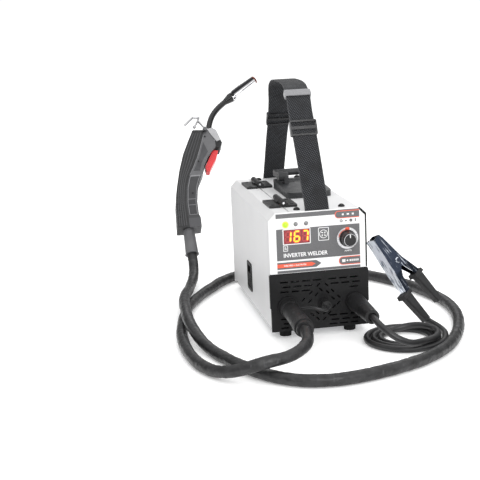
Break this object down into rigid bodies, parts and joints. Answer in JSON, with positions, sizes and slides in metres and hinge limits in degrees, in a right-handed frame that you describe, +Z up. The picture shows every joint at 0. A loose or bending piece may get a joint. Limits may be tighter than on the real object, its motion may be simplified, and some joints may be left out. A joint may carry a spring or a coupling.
{
  "type": "mig welding machine",
  "caption": "Portable inverter wire-feed welder: steel case with hinged side door, wire feeder, display, knob, carrying strap, hose-fed torch and ground clamp.",
  "frame": {"origin": "on the floor under the middle of the machine's case, strap and fittings, its cords not counted", "axes": "+X to the right seen from the front, +Y to the back, +Z up; the control panel faces -Y"},
  "size_m": [0.3992, 0.7737, 0.327],
  "materials": {
    "painted_white": "satin powder coat",
    "bezel_white": "moulded, satin",
    "case_black": "moulded, fine grain",
    "zinc_sheet": "zinc plated",
    "foot_rubber": "matt",
    "printed_panel": "printed film",
    "red_window": "tinted",
    "lens": "clear",
    "knob_black": "moulded",
    "screw_black": "black oxide",
    "hinge_black": "moulded",
    "bright_steel": "polished",
    "handle_grey": "moulded",
    "webbing": "ribbed woven",
    "buckle": "moulded",
    "liner_black": "moulded",
    "spool_black": "moulded",
    "wire_copper": "wound wire",
    "cast_alloy": "cast",
    "motor_steel": "black",
    "roll_steel": "ground",
    "board_green": "lacquered",
    "winding": "lacquered copper",
    "fan_black": "moulded",
    "gland_black": "moulded",
    "connector_black": "soft moulded",
    "hose_sheath": "wrinkled sheath",
    "cable_rubber": "smooth rubber",
    "grip_black": "soft moulded",
    "torch_grey": "moulded",
    "sleeve_grey": "moulded",
    "trigger_red": "moulded",
    "neck_black": "insulated tube",
    "nozzle_chrome": "polished",
    "tip_copper": "copper",
    "clamp_steel": "nickel plated"
  },
  "bodies": {
    "root": {"base_tray": "zinc_sheet", "rubber_feet": "foot_rubber", "fixed_cover": "painted_white", "front_bezel": "bezel_white", "front_grille": "case_black", "bezel_gasket": "case_black", "rear_panel": "case_black", "cover_screws": "screw_black", "control_plate": "printed_panel", "display_window": "red_window", "indicator_lenses": "lens", "hinge_leaves_fixed": "hinge_black", "hinge_pins": "bright_steel", "handle_base": "handle_grey", "carry_strap": "webbing", "strap_buckles": "buckle", "partition": "liner_black", "feed_plate": "cast_alloy", "feed_motor": "motor_steel", "circuit_boards": "board_green", "heatsink": "cast_alloy", "transformer": "winding", "fan_frame": "fan_black", "power_switch_frame": "knob_black", "cord_gland": "gland_black", "front_sockets": "gland_black", "torch_connector": "connector_black", "ground_plug": "connector_black", "polarity_plug": "connector_black", "polarity_lead": "cable_rubber", "torch_hose": "hose_sheath", "ground_cable_plug_side": "cable_rubber", "ground_cable_clamp_side": "cable_rubber", "ground_cable_coil": "cable_rubber", "torch_grip": "grip_black", "torch_body": "torch_grey", "torch_sleeve": "sleeve_grey", "torch_neck": "neck_black", "torch_nozzle": "nozzle_chrome", "contact_tip": "tip_copper", "clamp_lower_arm": "clamp_steel", "clamp_lower_grip": "grip_black"},
    "door": {"side_door": "painted_white", "hinge_leaves_door": "hinge_black", "latch_bezel": "knob_black"},
    "latch": {"latch_slider": "knob_black"},
    "knob": {"control_knob": "knob_black"},
    "bail": {"handle_bail": "handle_grey"},
    "spool": {"wire_spool": "spool_black", "wire_winding": "wire_copper"},
    "drive_roll": {"drive_roll": "roll_steel"},
    "pressure_arm": {"pressure_arm": "cast_alloy"},
    "pressure_roll": {"pressure_roll": "roll_steel"},
    "tension_knob": {"tension_knob": "knob_black"},
    "fan": {"fan_rotor": "fan_black"},
    "rocker": {"power_rocker": "knob_black"},
    "trigger": {"torch_trigger": "trigger_red"},
    "hook": {"torch_hook": "nozzle_chrome"},
    "clamp_jaw": {"clamp_upper_arm": "clamp_steel", "clamp_upper_grip": "grip_black"}
  },
  "joints": [
    {"name": "door_hinge", "type": "hinge", "parent": "root", "child": "door", "pos_m": [-0.0365, 0, 0.174], "axis": [0, 1, 0], "range_deg": [0, 100]},
    {"name": "latch_slide", "type": "slide", "parent": "door", "child": "latch", "axis": [0, 0, 1], "range_m": [0, 0.008], "stiffness_N_per_m": 150, "springref_m": -0.003},
    {"name": "knob_turn", "type": "hinge", "parent": "root", "child": "knob", "pos_m": [0.039, -0.15, 0.1285], "axis": [0, 1, 0], "range_deg": [-140, 140]},
    {"name": "bail_swing", "type": "hinge", "parent": "root", "child": "bail", "pos_m": [0.0135, 0.014, 0.19], "axis": [1, 0, 0], "range_deg": [0, 95]},
    {"name": "spool_spin", "type": "hinge", "parent": "root", "child": "spool", "pos_m": [-0.032, 0.06, 0.085], "axis": [1, 0, 0], "continuous": true},
    {"name": "drive_roll_spin", "type": "hinge", "parent": "root", "child": "drive_roll", "pos_m": [-0.018, -0.07, 0.0285], "axis": [1, 0, 0], "continuous": true},
    {"name": "pressure_arm_lift", "type": "hinge", "parent": "root", "child": "pressure_arm", "pos_m": [-0.015, -0.097, 0.061], "axis": [1, 0, 0], "range_deg": [0, 60]},
    {"name": "pressure_roll_spin", "type": "hinge", "parent": "pressure_arm", "child": "pressure_roll", "pos_m": [-0.018, -0.07, 0.0553], "axis": [1, 0, 0], "continuous": true},
    {"name": "tension_knob_turn", "type": "hinge", "parent": "pressure_arm", "child": "tension_knob", "pos_m": [-0.033, -0.06, 0.088], "axis": [0, 0, 1], "range_deg": [0, 720]},
    {"name": "fan_spin", "type": "hinge", "parent": "root", "child": "fan", "pos_m": [0.031, 0.128, 0.09], "axis": [0, 1, 0], "continuous": true},
    {"name": "rocker_tilt", "type": "hinge", "parent": "root", "child": "rocker", "pos_m": [-0.035, 0.143, 0.132], "axis": [1, 0, 0], "range_deg": [0, 14]},
    {"name": "trigger_pull", "type": "hinge", "parent": "root", "child": "trigger", "pos_m": [-0.0655, 0.32649, 0.18778], "axis": [0, 0.766, -0.6428], "range_deg": [0, 6], "stiffness_Nm_per_rad": 0.3, "springref_deg": -8.59},
    {"name": "hook_swivel", "type": "hinge", "parent": "root", "child": "hook", "pos_m": [-0.073, 0.33771, 0.22667], "axis": [0, -0.766, 0.6428], "range_deg": [-90, 90]},
    {"name": "clamp_squeeze", "type": "hinge", "parent": "root", "child": "clamp_jaw", "pos_m": [0.1078, -0.1252, 0.0869], "axis": [-0.3509, 0.8637, -0.3619], "range_deg": [0, 11], "stiffness_Nm_per_rad": 2, "springref_deg": -20.05}
  ],
  "couplings": [
    {"joint": "pressure_roll_spin", "follows": "drive_roll_spin", "ratio": -1.3636}
  ]
}
